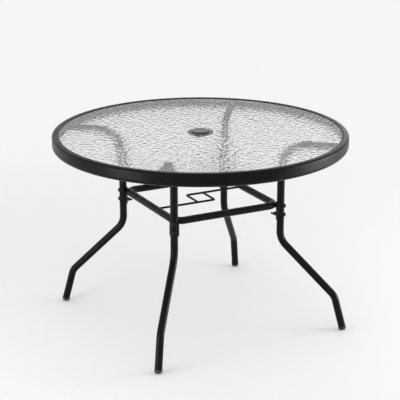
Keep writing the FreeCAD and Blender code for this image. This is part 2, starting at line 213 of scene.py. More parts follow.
def piece(name, grids, node, finish, slot, body="table", closed_rows=False):
    """One object from one or more grids. Doubled points are merged, which closes seams and poles,
    and the faces are turned outwards. It stands for the node, rides on the body and has the
    finish."""
    points, quads, first = [], [], 0
    for grid in grids:
        rows, columns = grid.shape[:2]
        points.append(grid.reshape(-1, 3))
        quads.append(grid_quads(rows, columns, closed_rows) + first)
        first += rows * columns
    mesh = mesh_of(name, np.concatenate(points), np.concatenate(quads))
    shape = bmesh.new()
    shape.from_mesh(mesh)
    bmesh.ops.remove_doubles(shape, verts=shape.verts, dist=WELD_DISTANCE)
    bmesh.ops.recalc_face_normals(shape, faces=shape.faces)
    open_edges = sum(len(edge.link_faces) != 2 for edge in shape.edges)
    shape.to_mesh(mesh)
    shape.free()
    mesh.polygons.foreach_set("use_smooth", np.ones(len(mesh.polygons), bool))
    mesh.set_sharp_from_angle(angle=SHARP_ANGLE)
    made = bpy.data.objects.new(name, mesh)
    bpy.context.scene.collection.objects.link(made)
    mesh.materials.append(finish)
    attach(made, body)
    if node:
        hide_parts(node)
    print(f"{name}: {len(mesh.polygons)} faces, {open_edges} open edges")
    return made


# %% [markdown]
# ## Shader maths as expressions
#
# A finish is easier to read as a formula than as a list of node links. The class below wraps one
# output of a node tree, so that plus, minus and times on it add the Math nodes, also with a plain
# number first. Every other node comes from one method of the finish, which sets the node's
# settings before its sockets.

# %% Wires


def value_of(thing):
    return thing.socket if isinstance(thing, Wire) else thing


class Wire:
    """An output of a node. Python's operators on it add Math nodes."""

    def __init__(self, finish, socket):
        self.finish = finish
        self.socket = socket

    def __getitem__(self, name):
        return Wire(self.finish, self.socket.node.outputs[name])

    def maths(self, operation, *values):
        return self.finish.node("Math", {"operation": operation}, dict(enumerate(values)))

    def __add__(self, other):
        return self.maths("ADD", self, other)

    def __sub__(self, other):
        return self.maths("SUBTRACT", self, other)

    def __rsub__(self, other):
        return self.maths("SUBTRACT", other, self)

    def __mul__(self, other):
        return self.maths("MULTIPLY", self, other)

    __radd__ = __add__
    __rmul__ = __mul__

    def ramp(self, low, high, start=0.0, end=1.0):
        """From start to end as the value goes from low to high, with a soft beginning and end."""
        settings = {"interpolation_type": "SMOOTHSTEP"}
        sockets = {"Value": self, "From Min": low, "From Max": high, "To Min": start, "To Max": end}
        return self.finish.node("MapRange", settings, sockets)


# %% [markdown]
# ### A finish in the making
#
# The other half of the same idea holds the node tree itself. Noise, blends and bumps are wanted
# again and again, so each has a method of its own. The noise reads the place on the piece in
# metres, so that its lumps keep their real size on every piece.

# %% Finishes


class Finish:
    """A material or a world in the making. node() adds a node and gives its first output."""

    def __init__(self, owner):
        owner.use_nodes = True
        self.owner = owner
        self.tree = owner.node_tree
        self.tree.nodes.clear()

    def node(self, kind, settings=None, sockets=None):
        made = self.tree.nodes.new("ShaderNode" + kind)
        for name, value in (settings or {}).items():
            setattr(made, name, value)
        for name, value in (sockets or {}).items():
            plain = value_of(value)
            if isinstance(value, Wire):
                self.tree.links.new(plain, made.inputs[name])
            else:
                made.inputs[name].default_value = plain
        return Wire(self, made.outputs[0]) if made.outputs else None

    def place(self):
        """Where a point is on the object, in metres."""
        return self.node("TexCoord")["Object"]

    def noise(self, scale, detail=2.0, roughness=0.5):
        """Soft cloudy values round 0.5. A scale of s makes lumps of about 1 / s metres."""
        sockets = {"Vector": self.place(), "Scale": scale, "Detail": detail,
                   "Roughness": roughness}
        return self.node("TexNoise", {}, sockets)

    def blend(self, share, first, second):
        """A colour between two, by a share that may change over the surface."""
        made = self.node("Mix", {"data_type": "RGBA"}, {"Factor": share})
        node = made.socket.node
        for socket, value in ((node.inputs[6], first), (node.inputs[7], second)):
            if isinstance(value, Wire):
                self.tree.links.new(value.socket, socket)
            else:
                socket.default_value = (*value, 1.0)
        return Wire(self, node.outputs[2])

    def bump(self, height, distance):
        """A normal for a surface that rises by distance metres where the height grows by one."""
        return self.node("Bump", {}, {"Height": height, "Distance": distance})

    def done(self, shader):
        self.node("OutputMaterial", {}, {"Surface": shader})
        print(f"{self.owner.name}: {len(self.tree.nodes)} nodes")
        return self.owner


def finish(name):
    return Finish(bpy.data.materials.new(name))


# %% [markdown]
# ## Powder coat
#
# Powder coat is plastic powder that melts on hot steel. It flows into a skin with a faint orange
# peel, one or two millimetres from lump to lump, and its satin is broad and even. The base is
# nearly black, so what shows is mostly the soft reflection of the studio. Fine dust makes it a
# touch greyer in places.

# %% Powder coat

COAT_CLEAN = (0.0016, 0.0016, 0.0022)
COAT_DUSTY = (0.006, 0.006, 0.007)
COAT_SHEEN = (0.88, 0.88, 1.0)
COAT_SHINE = 0.14
PEEL_DEPTH = 0.06 * MM


def powder_coat():
    f = finish("powder_coat")
    peel = f.noise(620.0, detail=1.5)
    waves = f.noise(95.0, detail=1.0)
    clouds = f.noise(9.0, detail=4.0, roughness=0.6)
    specks = f.noise(2600.0, detail=0.0).ramp(0.68, 0.74)
    dust = clouds.ramp(0.42, 0.72) * 0.35 + specks * 0.25
    rough = 0.30 + clouds.ramp(0.3, 0.7) * 0.07 + specks * 0.05
    shader = f.node("BsdfPrincipled", {}, {
        "Base Color": f.blend(dust, COAT_CLEAN, COAT_DUSTY), "Roughness": rough,
        "Specular IOR Level": COAT_SHINE, "Specular Tint": (*COAT_SHEEN, 1.0),
        "Normal": f.bump(peel + waves * 1.5, PEEL_DEPTH),
    })
    return f.done(shader)


COATED = (powder_coat(), "powder_coat")

# %% [markdown]
# ## Glass
#
# The sheet is smooth on top and has a rolled pattern of pebbles underneath. A refracting solid
# would stop the light of the lamps, so rays that look for a lamp, and rays that leave a dull
# surface, go straight through a slightly tinted clear shader. The eye still gets the full bending
# of the glass.

# %% Glass

CLEAR_GLASS = (0.965, 0.985, 0.98, 1.0)
GRAIN_DEPTH = 0.4 * MM
WAVER_DEPTH = 0.6 * MM


def glass(name, pebbled):
    """Glass with a fine grain where it is pebbled, and only a trace of waviness elsewhere."""
    f = finish(name)
    if pebbled:
        normal = f.bump(f.noise(75.0, detail=0.0).ramp(0.40, 0.64), GRAIN_DEPTH)
    else:
        normal = f.bump(f.noise(7.0, detail=0.0), WAVER_DEPTH)
    sheet = f.node("BsdfPrincipled", {}, {
        "Base Color": CLEAR_GLASS, "Roughness": 0.0, "IOR": 1.5, "Transmission Weight": 1.0,
        "Normal": normal,
    })
    clear = f.node("BsdfTransparent", {}, {"Color": CLEAR_GLASS})
    path = f.node("LightPath")
    to_lamps = f.node("MixShader", {}, {0: path["Is Shadow Ray"], 1: sheet, 2: clear})
    return f.done(f.node("MixShader", {}, {0: path["Is Diffuse Ray"], 1: to_lamps, 2: clear}))


GLASS_SMOOTH = glass("glass_smooth", False)
GLASS_PEBBLED = glass("glass_rippled", True)

# %% [markdown]
# ## Plastic, rubber and fasteners
#
# The feet are moulded in black plastic, and the hole's ring and its cap in a glossier dark grey
# one. The tool leaves a fine even grain on both. The strip under the glass is matt rubber. The
# bolts are steel with a thin black zinc skin, which lets a little of the metal's shine through.

# %% Small finishes

BLACKS = ((0.016, 0.016, 0.017), (0.028, 0.028, 0.030))
GREYS = ((0.060, 0.060, 0.066), (0.078, 0.078, 0.084))
RUBBERS = ((0.014, 0.014, 0.014), (0.030, 0.030, 0.030))
ZINCS = ((0.006, 0.006, 0.007), (0.020, 0.020, 0.020))


def moulded_plastic(name, colours, least_rough):
    """Plastic with a fine moulded grain, whose colour wanders a little between two tones."""
    f = finish(name)
    grain = f.noise(1900.0, detail=2.0)
    clouds = f.noise(24.0, detail=3.0)
    shader = f.node("BsdfPrincipled", {}, {
        "Base Color": f.blend(clouds.ramp(0.35, 0.7), *colours),
        "Roughness": clouds.ramp(0.3, 0.7) * 0.08 + grain * 0.08 + least_rough,
        "Normal": f.bump(grain, 0.05 * MM),
    })
    return f.done(shader)


def strip_rubber():
    f = finish("strip_rubber")
    clouds = f.noise(60.0, detail=3.0)
    shader = f.node("BsdfPrincipled", {}, {
        "Base Color": f.blend(clouds.ramp(0.35, 0.7), *RUBBERS),
        "Roughness": 0.62 + clouds * 0.15, "Normal": f.bump(f.noise(900.0), 0.08 * MM),
    })
    return f.done(shader)


def black_zinc():
    f = finish("black_zinc")
    clouds = f.noise(420.0, detail=3.0)
    shader = f.node("BsdfPrincipled", {}, {
        "Base Color": f.blend(clouds.ramp(0.4, 0.7), *ZINCS), "Metallic": 0.6,
        "Roughness": 0.28 + clouds * 0.16, "Normal": f.bump(clouds, 0.03 * MM),
    })
    return f.done(shader)


BLACK = (moulded_plastic("black_plastic", BLACKS, 0.36), "black_plastic")
GREY = (moulded_plastic("grey_plastic", GREYS, 0.18), "black_plastic")
RUBBER = (strip_rubber(), "gasket_rubber")
ZINC = (black_zinc(), "black_fastener")

# %% [markdown]
# ## The rim
#
# One strip of steel is rolled through shaped wheels and bent into a hoop. From the inside out it
# has the ledge that carries the glass, a short wall, the crown, the deep outer band and a curl
# that hides the cut edge below. Turning the strip's outline round the axis gives exactly that.

# %% Rim

RIM_RADIUS = min(rim_high.x, rim_high.y, -rim_low.x, -rim_low.y)
RIM_CROWN_WIDTH = 22.0
RIM_CURL_REACH = 19.5
LEDGE_REACH = 28.0
RIM_BENDS = (1.0, 2.5, 8.0, 14.0)
RIM_COLUMNS = 360


def rim_side(depth):
    """The strip's outline at a depth in millimetres below its outer side."""
    outer, top, bottom = RIM_RADIUS / MM, rim_high.z / MM, rim_low.z / MM
    ledge, wall = LEDGE_Z / MM - depth, outer - RIM_CROWN_WIDTH + depth
    corners = [
        (outer - LEDGE_REACH, ledge),
        (wall, ledge),
        (wall, top - depth),
        (outer - depth, top - depth),
        (outer - depth, bottom + depth),
        (outer - RIM_CURL_REACH, bottom + depth),
    ]
    first, second, third, fourth = RIM_BENDS
    return outline(corners, (first + depth, second - depth, third - depth, fourth - depth))


rim_outline = np.concatenate([rim_side(0.0), rim_side(SHEET / MM)[::-1]])
piece("rolled_rim", [turned(rim_outline, RIM_COLUMNS)], "rim", *COATED, closed_rows=True)

# %% [markdown]
# ## The glass
#
# The pattern is pressed into the underside while the glass is soft. Many waves of similar length,
# each with its own direction and phase, add up to a surface without two lumps alike, though all
# have about one size. A soft step of that sum makes them pebbles with round flanks. The
# pattern fades out under the strip and the ring, where the sheet has to lie flat. The nodes of
# the lower finish add the finer grain that the mesh can't hold.

# %% Glass pattern

WAVES = 90
WAVE_LENGTHS = (0.018, 0.034)


def wave_sum(x, y):
    """Height of the pattern: a sum of cos(k (x cos d + y sin d) + p) over waves of wave number k,
    direction d and phase p, scaled so that its usual height is one."""
    draw = np.random.default_rng(7)
    lengths = draw.uniform(*WAVE_LENGTHS, WAVES)
    directions, phases = draw.uniform(0, 2 * math.pi, (2, WAVES))
    height = 0 * x
    for length, direction, phase in zip(lengths, directions, phases):
        along = x * math.cos(direction) + y * math.sin(direction)
        height = height + np.cos(2 * math.pi / length * along + phase)
    return height / math.sqrt(WAVES / 2)


def soft_step(value, low, high):
    """0 below low, 1 above high, and t t (3 - 2 t) of the share t between them."""
    t = np.clip((value - low) / (high - low), 0, 1)
    return t * t * (3 - 2 * t)


# %% [markdown]
# ### The sheet itself
#
# One closed outline is turned about the axis: the top, the ground edge, the underside and the edge
# of the hole. Only the underside needs many rings, because it alone carries the pebbles.

# %% Glass sheet

GLASS_COLUMNS = 720
GLASS_EDGE = 1.0 * MM
GLASS_HOLE = 28 * MM
TOP_ROWS = 12
UNDERSIDE_ROWS = 100
PEBBLE_DEPTH = 0.5 * MM
PEBBLE_FLANK = (-0.5, 1.4)
FADE_AT_RING = (31 * MM, 38 * MM)
FADE_AT_STRIP = (499 * MM, 507 * MM)


def flat_rows(start, end, count, inside=0.4 * MM):
    """Radii from start to end, with one more just inside each end, so that the flat shades flat."""
    radii = np.linspace(start, end, count)
    inside = math.copysign(inside, end - start)
    return np.concatenate([[start, start + inside], radii[1:-1], [end - inside, end]])


def glass_sheet():
    """An outline of (radius, height), whose round edges are e (1 - sin t) and e (1 - cos t) from
    the sheet's sides for t from 0 to 90 degrees. The underside rises by the pattern's height."""
    outer, top, bottom = glass_high.x, glass_high.z, glass_low.z
    t = np.linspace(0, math.pi / 2, 5)
    far, near = GLASS_EDGE * (1 - np.sin(t)), GLASS_EDGE * (1 - np.cos(t))
    top_rows = flat_rows(GLASS_HOLE + GLASS_EDGE, outer - GLASS_EDGE, TOP_ROWS)
    under_rows = flat_rows(outer - GLASS_EDGE, GLASS_HOLE + GLASS_EDGE, UNDERSIDE_ROWS)[1:]
    before = [(radius, top) for radius in top_rows]
    before += list(zip(outer - far[1:], top - near[1:])) + list(zip(outer - near, bottom + far))
    under = [(radius, bottom) for radius in under_rows]
    after = list(zip(GLASS_HOLE + far[1:], bottom + near[1:]))
    after += list(zip(GLASS_HOLE + near[:-1], top - far[:-1]))
    grid = turned(np.array(before + under + after), GLASS_COLUMNS)
    low = grid[len(before):len(before) + len(under)]
    radius = np.hypot(low[..., 0], low[..., 1])
    fade = soft_step(radius, *FADE_AT_RING) * (1 - soft_step(radius, *FADE_AT_STRIP))
    pebbles = PEBBLE_DEPTH * soft_step(wave_sum(low[..., 0], low[..., 1]), *PEBBLE_FLANK)
    low[..., 2] += fade * pebbles
    return grid


sheet = piece("rippled_glass", [glass_sheet()], "glass_top", GLASS_SMOOTH, "clear_glass",
              closed_rows=True)
sheet.data.materials.append(GLASS_PEBBLED)
normals = np.zeros(len(sheet.data.polygons) * 3, np.float32)
sheet.data.polygons.foreach_get("normal", normals)
faces_down = normals[2::3] < -0.5
sheet.data.polygons.foreach_set("material_index", faces_down.astype(np.int32))
print("pebbled faces:", int(faces_down.sum()))

# %% [markdown]
# ## The strip under the glass
#
# A soft angle lies in the rim's corner, with one leg under the glass and the other up its edge, so
# that glass never touches steel. From above it shows as a dark hairline inside the crown.

# %% Strip

STRIP_WIDTH = 5.5
STRIP_THICKNESS = 2.0
STRIP_COLUMNS = 240


def strip_outline():
    """The section of the strip, which starts and ends in the middle of its underside."""
    wall, low, high = gasket_high.x / MM, gasket_low.z / MM, gasket_high.z / MM
    inner, glass_edge = wall - STRIP_WIDTH, wall - STRIP_THICKNESS
    corners = [
        (inner + STRIP_WIDTH / 2, low),
        (wall, low),
        (wall, high),
        (glass_edge, high),
        (glass_edge, low + STRIP_THICKNESS),
        (inner, low + STRIP_THICKNESS),
        (inner, low),
        (inner + STRIP_WIDTH / 2, low),
    ]
    return outline(corners, (1.0, 0.5, 0.5, 0.01, 0.6, 0.6), steps=4)


piece("glass_strip", [turned(strip_outline(), STRIP_COLUMNS)], "glass_gasket", *RUBBER)

# %% [markdown]
# ## The umbrella ring and its cap
#
# The ring is a plastic moulding that drops into the hole: a thin flange spreads over the glass,
# and a sleeve goes down through it with a bead that snaps under the sheet. The cap sits in the
# ring with a short skirt. Both are turned shapes. The cap's edge is rounded where fingers take it.

# %% Ring and cap

BORE_RADIUS = 20.5
SEAT_RADIUS = 24.5
SEAT_DEPTH = 5.5
SLEEVE_RADIUS = 27.0
SLEEVE_TIP_RADIUS = 24.0
BEAD_RADIUS = 28.8
BEAD_HEIGHT = 3.0
CAP_WALL = 2.0
CAP_GAP = 0.3
HOLE_COLUMNS = 128


def ring_outline():
    """The section of the ring, from the cap's seat out over the flange, down the sleeve and back up
    the bore."""
    top, low = ring_high.z / MM, ring_low.z / MM
    glass_top, glass_bottom = glass_high.z / MM, glass_low.z / MM
    flange = ring_high.x / MM
    corners = [
        (SEAT_RADIUS, top - SEAT_DEPTH / 2),
        (SEAT_RADIUS, top),
        (flange, top),
        (flange, glass_top),
        (SLEEVE_RADIUS, glass_top),
        (SLEEVE_RADIUS, glass_bottom),
        (BEAD_RADIUS, glass_bottom),
        (SLEEVE_RADIUS, glass_bottom - BEAD_HEIGHT),
        (SLEEVE_TIP_RADIUS, low),
        (BORE_RADIUS, low),
        (BORE_RADIUS, top - SEAT_DEPTH),
        (SEAT_RADIUS, top - SEAT_DEPTH),
        (SEAT_RADIUS, top - SEAT_DEPTH / 2),
    ]
    bends = (0.4, 1.5, 0.2, 0.4, 0.1, 0.3, 0.8, 1.0, 1.0, 0.3, 0.1)
    return outline(corners, bends, steps=5)


def cap_outline():
    """The section of the cap: its top, its side, its seat and both sides of its skirt."""
    top, low, seat = plug_high.z / MM, plug_low.z / MM, ring_high.z / MM
    disc, skirt = plug_high.x / MM, SEAT_RADIUS - CAP_GAP
    corners = [
        (0.0, top),
        (disc, top),
        (disc, seat),
        (skirt, seat),
        (skirt, low),
        (skirt - CAP_WALL, low),
        (skirt - CAP_WALL, top - CAP_WALL),
        (0.0, top - CAP_WALL),
    ]
    return outline(corners, (2.0, 0.3, 0.3, 0.3, 0.3, 1.0), steps=7)


piece("pole_ring", [turned(ring_outline(), HOLE_COLUMNS)], "umbrella_ring", *GREY)
piece("pole_cap", [turned(cap_outline(), HOLE_COLUMNS)], "hole_plug", *GREY, body="plug")

# %% [markdown]
# ## Legs
#
# Each leg is two bent tubes. The upper one stands upright and then turns outwards under the glass
# to the rim. The lower one is squeezed at its top to plug into the upper one, leans outwards at
# the knee and comes back towards upright at the ankle. A tube is rings along a bent line, and the
# squeezed end is only a smaller radius of the first rings.

# %% Leg tubes

Y_AXIS = (0.0, 1.0, 0.0)
ARM_BEND = 97 * MM
KNEE_Z = 333 * MM
ANKLE_REACH = 204 * MM
KNEE_BEND = 77 * MM
ANKLE_BEND = 63 * MM
FOOT_LEAN = math.radians(15)
FOOT_HEIGHT = 14 * MM
PLUG_LENGTH = 68 * MM
PLUG_GAP = 0.1 * MM
SHOULDER = (0.2 * MM, -0.8 * MM)
EDGE_BREAK = 0.25 * MM

ankle = np.array([LEG_RADIUS + ANKLE_REACH, 0.0, KNEE_Z - ANKLE_REACH])
floor_point = np.array([ankle[0] + ankle[2] * math.tan(FOOT_LEAN), 0.0, 0.0])
foot_direction = unit(floor_point - ankle)
foot_top = floor_point - foot_direction * FOOT_HEIGHT


def walled_tube(points, directions, side, radius, wall, columns=48):
    """The outer skin out and the inner skin back, so that the wall shows at both ends. The end
    rings are a little smaller than the rest, as where a cut end is broken with a file."""
    radius = np.broadcast_to(radius, len(points)).copy()
    start, end = points[:1], points[-1:]
    rings = np.concatenate([start, start + directions[:1] * EDGE_BREAK, points[1:-1],
                            end - directions[-1:] * EDGE_BREAK, end])
    ways = np.concatenate([directions[:1], directions, directions[-1:]])
    radii = np.concatenate([radius[:1] - EDGE_BREAK, radius, radius[-1:] - EDGE_BREAK])
    outer = tube(rings, ways, side, radii, columns)
    inner = tube(points, directions, side, radius - wall, columns)
    return np.concatenate([outer, inner[::-1]])


def upper_tube():
    """Straight up from the seam, round one bend and straight out to the rim."""
    corners = [(LEG_RADIUS, 0, SEAM_Z), (LEG_RADIUS, 0, ARM_Z), (RIM_RADIUS - SHEET, 0, ARM_Z)]
    points, directions = bent_line(corners, [ARM_BEND], steps=40)
    return walled_tube(points, directions, Y_AXIS, ARM_TUBE_RADIUS, TUBE_WALL)


def lower_tube():
    """The squeezed neck ends just above the seam, and the full width starts just below it."""
    squeezed = ARM_TUBE_RADIUS - TUBE_WALL - PLUG_GAP
    above, below = SHOULDER
    neck = [(LEG_RADIUS, 0, SEAM_Z + PLUG_LENGTH), (LEG_RADIUS, 0, SEAM_Z + above)]
    corners = [(LEG_RADIUS, 0, SEAM_Z + below), (LEG_RADIUS, 0, KNEE_Z), ankle, foot_top]
    bends, ways = bent_line(corners, [KNEE_BEND, ANKLE_BEND], steps=30)
    points = np.concatenate([np.array(neck), bends])
    directions = np.concatenate([ways[:1], ways[:1], ways])
    radius = np.where(np.arange(len(points)) < len(neck), squeezed, LEG_TUBE_RADIUS)
    return walled_tube(points, directions, Y_AXIS, radius, TUBE_WALL)


def leg_place(grid, azimuth):
    """The grid turned a little about the leg's own upright, then about the table to its corner."""
    upright = np.array([LEG_RADIUS, 0.0, 0.0])
    return rotated(rotated(grid - upright, LEG_TURN) + upright, azimuth)


for corner, azimuth in LEG_PLACES.items():
    for kind, node, shape in (("upper_leg", "arm", upper_tube), ("lower_leg", "leg", lower_tube)):
        grid = leg_place(shape(), azimuth)
        piece(f"{kind}_{corner}", [grid], f"{node}_{corner}", *COATED, closed_rows=True)

# %% [markdown]
# ## Foot caps
#
# A plastic cap closes each leg. It has a collar a little wider than the tube, then a dome, and
# its sole is flat because it has worn and pressed itself level. The shape is turned about the
# foot's own axis, leaned over, and every point that would be under the floor is lifted to it.

# %% Foot caps

FOOT_RADIUS = 14.2
FOOT_DOME = 9.0
FOOT_STRAIGHT = 3.9
FOOT_COLUMNS = 64
SHANK_LENGTH = 18.0
SHANK_RADIUS = LEG_TUBE_RADIUS / MM - TUBE_WALL / MM - 0.1


def foot_cap():
    """Turned about its own axis, then foot_top + r cos a across + r sin a side - h direction."""
    end = -FOOT_STRAIGHT - FOOT_DOME
    corners = [
        (0, SHANK_LENGTH),
        (SHANK_RADIUS, SHANK_LENGTH),
        (SHANK_RADIUS, 0),
        (FOOT_RADIUS, 0),
        (FOOT_RADIUS, end),
        (0, end),
    ]
    grid = turned(outline(corners, (1.0, 0.1, 0.7, FOOT_DOME), steps=12), FOOT_COLUMNS)
    across = np.cross(Y_AXIS, foot_direction)
    around = grid[..., :1] * across + grid[..., 1:2] * np.array(Y_AXIS)
    grid = foot_top + (around - grid[..., 2:] * foot_direction)
    grid[..., 2] = np.maximum(grid[..., 2], 0.0)
    return grid


for corner, azimuth in LEG_PLACES.items():
    piece(f"foot_cap_{corner}", [leg_place(foot_cap(), azimuth)], f"foot_{corner}", *BLACK)

# %% [markdown]
# ## The square frame and its rods
#
# The frame is one tube bent at four corners and welded shut. Two bent rods cross it, each from one
# side of the frame to the other rod, so that they leave a window in the middle for the pole. Welds
# show as small rippled beads where a rod or a saddle meets the tube.

# %% Frame and rods

Z_AXIS = (0.0, 0.0, 1.0)
SADDLE_RADIUS = 19.5 * MM
SADDLE_SHEET = 3.0 * MM
SADDLE_X = LEG_RADIUS - ARM_TUBE_RADIUS + SADDLE_RADIUS - SADDLE_SHEET
SADDLE_FACE = SADDLE_X - SADDLE_RADIUS
CORNER_X = SADDLE_FACE - FRAME_TUBE_RADIUS
FRAME_BEND = (FRAME_HALF_SIDE * math.sqrt(2) - CORNER_X) / (math.sqrt(2) - 1)
ROD_RADIUS = 4 * MM
ROD_Z = 462 * MM
ROD_BEND = 8 * MM
ROD_SINK = 1.5 * MM
ROD_LAP = 0.6 * MM
WINDOW = (34 * MM, 47 * MM)
FRAME_COLUMNS = 48
ROD_COLUMNS = 24
WELD_COLUMNS = 10
WELD_RADIUS = 1.1 * MM
WELD_WAVES = 9
WELD_SWELL = 0.12


def frame_square():
    """A tube round a square with round corners, which starts and ends in the middle of a side."""
    h, z = FRAME_HALF_SIDE, FRAME_Z
    corners = [(h, 0, z), (h, h, z), (-h, h, z), (-h, -h, z), (h, -h, z), (h, 0, z)]
    points, directions = bent_line(corners, [FRAME_BEND] * 4, steps=24)
    return tube(points[:-1], directions[:-1], Z_AXIS, FRAME_TUBE_RADIUS, FRAME_COLUMNS)


def guide_rod():
    """From just inside the wall of the frame's left tube, along the front edge of the window and
    back along its right edge, to where it laps into the other rod."""
    x, y = WINDOW
    start = -FRAME_HALF_SIDE + FRAME_TUBE_RADIUS - ROD_SINK
    corners = [(start, -y, ROD_Z), (x, -y, ROD_Z), (x, y - ROD_RADIUS + ROD_LAP, ROD_Z)]
    points, directions = bent_line(corners, [ROD_BEND], steps=14)
    return capped(tube(points, directions, Z_AXIS, ROD_RADIUS, ROD_COLUMNS))


def rod_weld(columns=48):
    """The bead where the front rod meets the left side of the frame. Its line has the rod's radius
    and lies on the frame's round, x = sqrt(R R - z z) from the middle of the frame's tube. Round
    the line goes centre + w (cos b outward + sin b inward), where the width w swells a little with
    every wave that the torch made."""
    a, b = angles(columns)[:, None], angles(WELD_COLUMNS)[:, None, None]
    y, z = ROD_RADIUS * np.cos(a), ROD_RADIUS * np.sin(a) + ROD_Z
    x = -FRAME_HALF_SIDE + np.sqrt(FRAME_TUBE_RADIUS**2 - (z - FRAME_Z) ** 2)
    centres = np.concatenate([x, y - WINDOW[1], z], axis=1)
    outward = np.concatenate([0 * a, np.cos(a), np.sin(a)], axis=1)
    inward = np.array([1.0, 0.0, 0.0])
    width = WELD_RADIUS * (1 + WELD_SWELL * np.cos(a * WELD_WAVES))
    return np.moveaxis(centres + width * (np.cos(b) * outward + np.sin(b) * inward), 0, 1)


piece("square_frame", [frame_square()], "frame_ring", *COATED, closed_rows=True)
for place, degrees in (("front", 0), ("back", 180)):
    piece(f"pole_rod_{place}", [rotated(guide_rod(), degrees)], f"guide_rod_{place}", *COATED)
    piece(f"rod_weld_{place}", [rotated(rod_weld(), degrees)], None, *COATED)

# %% [markdown]
# ## Saddles
#
# A curved plate on each corner of the frame hugs the leg. Its outline is a rectangle with round
# corners, bent round an upright axis. Scaling that outline towards its middle gives the second
# parameter of the surface, and one formula makes both faces, each with its own radius.

# %% Saddles

SADDLE_LOW_Z = 408 * MM
SADDLE_HIGH_Z = 474 * MM
SADDLE_HALF_WIDTH = 16.5 * MM
SADDLE_CORNER = 8 * MM
SADDLE_EDGE = 0.3 * MM
SADDLE_SHARES = (0, 0.2, 0.4, 0.6, 0.8, 0.9, 0.98)
COLLAR_RADIUS = 10 * MM
COLLAR_SINK = 0.8 * MM
COLLAR_WAVES = 14
COLLAR_SWELL = 0.03
COLLAR_WAIST = 0.93
COLLAR_FLARE = 0.2


def saddle_face(line, shares, radius):
    """Points s P(t) of the flat outline P, with x = centre - sqrt(R R - y y)."""
    y, z = (np.array(shares)[:, None, None] * line).transpose(2, 0, 1)
    middle = (SADDLE_LOW_Z + SADDLE_HIGH_Z) / 2
    return np.stack([SADDLE_X - np.sqrt(radius**2 - y**2), y, z + middle], axis=-1)


def saddle_plate():
    """The face towards the frame, an edge of two rings and the face towards the leg."""
    w, h = SADDLE_HALF_WIDTH, (SADDLE_HIGH_Z - SADDLE_LOW_Z) / 2
    corners = [(w, 0), (w, h), (-w, h), (-w, -h), (w, -h), (w, 0)]
    line = bent_line(corners, [SADDLE_CORNER] * 4, steps=8)[0][:-1]
    wide, narrow = SADDLE_RADIUS, SADDLE_RADIUS - SADDLE_SHEET
    edge = np.concatenate([saddle_face(line, [1.0], wide), saddle_face(line, [1.0], narrow)])
    edge[0, :, 0] += SADDLE_EDGE
    edge[1, :, 0] -= SADDLE_EDGE
    return np.concatenate([saddle_face(line, SADDLE_SHARES, wide), edge,
                           saddle_face(line, SADDLE_SHARES[::-1], narrow)])


def saddle_collar(columns=48):
    """The weld between the frame's corner and the plate. Across it the radius goes wide, narrow
    and wide again, and its two ends follow the frame's round corner and the plate."""
    a = angles(columns)
    share = np.linspace(0, 1, 9)[:, None]
    waist = COLLAR_RADIUS * (COLLAR_WAIST + COLLAR_FLARE * (2 * share - 1) ** 2)
    radius = waist * (1 + COLLAR_SWELL * np.cos(COLLAR_WAVES * a))
    y, z = radius * np.cos(a), radius * np.sin(a)
    reach = FRAME_BEND + np.sqrt(np.maximum(FRAME_TUBE_RADIUS**2 - z**2, 0))
    on_frame = CORNER_X - FRAME_BEND + np.sqrt(reach**2 - y**2) - COLLAR_SINK
    on_plate = SADDLE_X - np.sqrt(SADDLE_RADIUS**2 - y**2) + COLLAR_SINK
    return capped(np.stack([on_frame + share * (on_plate - on_frame), y, z + FRAME_Z], axis=-1))


for corner, azimuth in LEG_PLACES.items():
    plate, weld = rotated(saddle_plate(), azimuth), rotated(saddle_collar(), azimuth)
    piece(f"saddle_plate_{corner}", [plate], f"saddle_{corner}", *COATED)
    piece(f"saddle_weld_{corner}", [weld], None, *COATED)

# %% [markdown]
# ## Bolts, nuts and washers
#
# Two bolts clamp each leg to its saddle. Their heads are low domes with a hexagon socket, and their
# threaded tips stand out behind the nuts. A hexagon is a radius that changes with the angle, and a
# thread is a radius that changes with the angle and the distance along the bolt.

# %% Fastener places

BOLT_RADIUS = 4.0 * MM
WASHER_SHEET = 0.8 * MM
FORMED_WASHER = 2.0 * MM
NUT_THICKNESS = 6.5 * MM
HEAD_SEAT = LEG_RADIUS + ARM_TUBE_RADIUS + WASHER_SHEET
UPPER_SEAT = CORNER_X - FRAME_TUBE_RADIUS - FORMED_WASHER
UPPER_BOLT = {"z": FRAME_Z, "seat": UPPER_SEAT, "tip": 3.0 * MM}
LOWER_BOLT = {"z": 428 * MM, "seat": SADDLE_FACE - WASHER_SHEET, "tip": 11.0 * MM}
both = (UPPER_BOLT, LOWER_BOLT)


def hexagon(a, flat):
    """Distance from the middle to a hexagon's side at angle a, which is the flat's distance
    divided by the cosine of the angle from a to the middle of that side."""
    return flat / np.cos((a + math.pi / 6) % (math.pi / 3) - math.pi / 6)


def along_x(x, radius, z, columns):
    """Rings round a line along X at height z, from distances x and radii, either of which may be a
    grid: (x, radius cos a, z + radius sin a)."""
    a = angles(columns)
    x, radius = np.broadcast_arrays(np.asarray(x, float), np.asarray(radius, float) + 0 * a)
    return np.stack([x, radius * np.cos(a), z + radius * np.sin(a)], axis=-1)


def fasteners(name, node, grids, closed_rows):
    """One piece of the same grids turned to each of the four legs."""
    turned_grids = [rotated(grid, azimuth) for azimuth in LEG_PLACES.values() for grid in grids]
    piece(name, turned_grids, node, *ZINC, closed_rows=closed_rows)


# %% [markdown]
# ### Bolts
#
# Seen along its axis a bolt is nothing but radii: the hexagon of the socket, the dome of the head,
# the shank and the thread. One grid holds them all, from the socket's floor to the tip.

# %% Bolts

